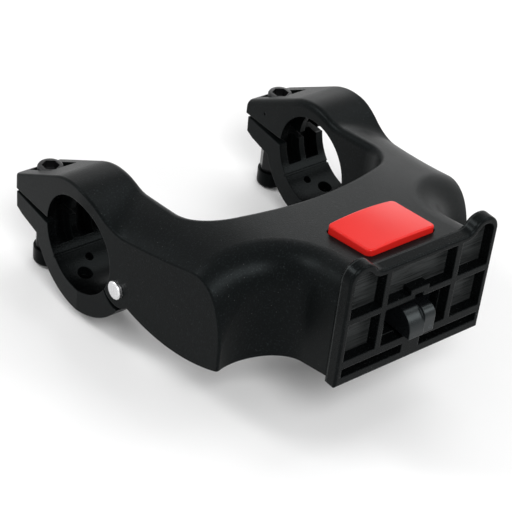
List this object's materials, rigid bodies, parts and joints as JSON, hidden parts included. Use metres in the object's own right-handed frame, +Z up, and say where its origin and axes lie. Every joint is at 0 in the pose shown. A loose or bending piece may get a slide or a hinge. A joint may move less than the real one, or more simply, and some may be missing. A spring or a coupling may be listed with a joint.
{
  "type": "handlebar basket bracket",
  "caption": "U-shaped handlebar bracket with hinged bar clamps, a ribbed quick-release front plate for a basket, a sprung latch and a push button.",
  "frame": {"origin": "middle of the handlebar's axis, between the two clamps", "axes": "+X along the handlebar, +Y to the rear of the clamps, away from the front plate, +Z up"},
  "size_m": [0.11, 0.13, 0.0668],
  "materials": {
    "body": "fine matte grain",
    "plate": "satin",
    "latch": "satin",
    "button": "satin gloss",
    "cap": "matte",
    "black_steel": "black oxide",
    "steel": "zinc plated",
    "bright_steel": "polished"
  },
  "bodies": {
    "body": {"main_body": "body", "front_plate": "plate", "latch_spring": "steel", "hinge_pin_left": "bright_steel", "pin_clip_left": "steel", "bolt_washer_left": "black_steel", "hinge_pin_right": "bright_steel", "pin_clip_right": "steel", "bolt_washer_right": "black_steel"},
    "latch": {"latch_hook": "latch"},
    "button": {"release_button": "button"},
    "left_bolt": {"clamp_bolt_left": "black_steel"},
    "left_nut": {"clamp_nut_left": "black_steel", "nut_cap_left": "cap"},
    "left_jaw": {"lower_jaw_left": "body"},
    "right_bolt": {"clamp_bolt_right": "black_steel"},
    "right_nut": {"clamp_nut_right": "black_steel", "nut_cap_right": "cap"},
    "right_jaw": {"lower_jaw_right": "body"}
  },
  "joints": [
    {"name": "latch_slide", "type": "slide", "parent": "body", "child": "latch", "axis": [0, 1, 0], "range_m": [0, 0.004], "stiffness_N_per_m": 400, "springref_m": -0.004, "deforming": ["latch_spring"]},
    {"name": "button_press", "type": "slide", "parent": "body", "child": "button", "axis": [0, 0, -1], "range_m": [0, 0.004]},
    {"name": "left_nut_travel", "type": "slide", "parent": "body", "child": "left_nut", "axis": [0, 0, -1], "range_m": [0, 0.008]},
    {"name": "left_bolt_turn", "type": "hinge", "parent": "body", "child": "left_bolt", "pos_m": [-0.04575, 0.0293, 0.008], "axis": [0, 0, 1], "range_deg": [0, 3600]},
    {"name": "left_jaw_open", "type": "hinge", "parent": "body", "child": "left_jaw", "pos_m": [-0.04575, -0.01946, -0.0046], "axis": [-1, 0, 0], "range_deg": [0, 9.3]},
    {"name": "right_nut_travel", "type": "slide", "parent": "body", "child": "right_nut", "axis": [0, 0, -1], "range_m": [0, 0.008]},
    {"name": "right_bolt_turn", "type": "hinge", "parent": "body", "child": "right_bolt", "pos_m": [0.04575, 0.0293, 0.008], "axis": [0, 0, 1], "range_deg": [0, 3600]},
    {"name": "right_jaw_open", "type": "hinge", "parent": "body", "child": "right_jaw", "pos_m": [0.04575, -0.01946, -0.0046], "axis": [-1, 0, 0], "range_deg": [0, 9.3]}
  ],
  "couplings": [
    {"joint": "button_press", "follows": "latch_slide", "ratio": 1},
    {"joint": "left_bolt_turn", "follows": "left_nut_travel", "rad_per_m": 7854},
    {"joint": "left_jaw_open", "follows": "left_nut_travel", "rad_per_m": 20.289},
    {"joint": "right_bolt_turn", "follows": "right_nut_travel", "rad_per_m": 7854},
    {"joint": "right_jaw_open", "follows": "right_nut_travel", "rad_per_m": 20.289}
  ]
}
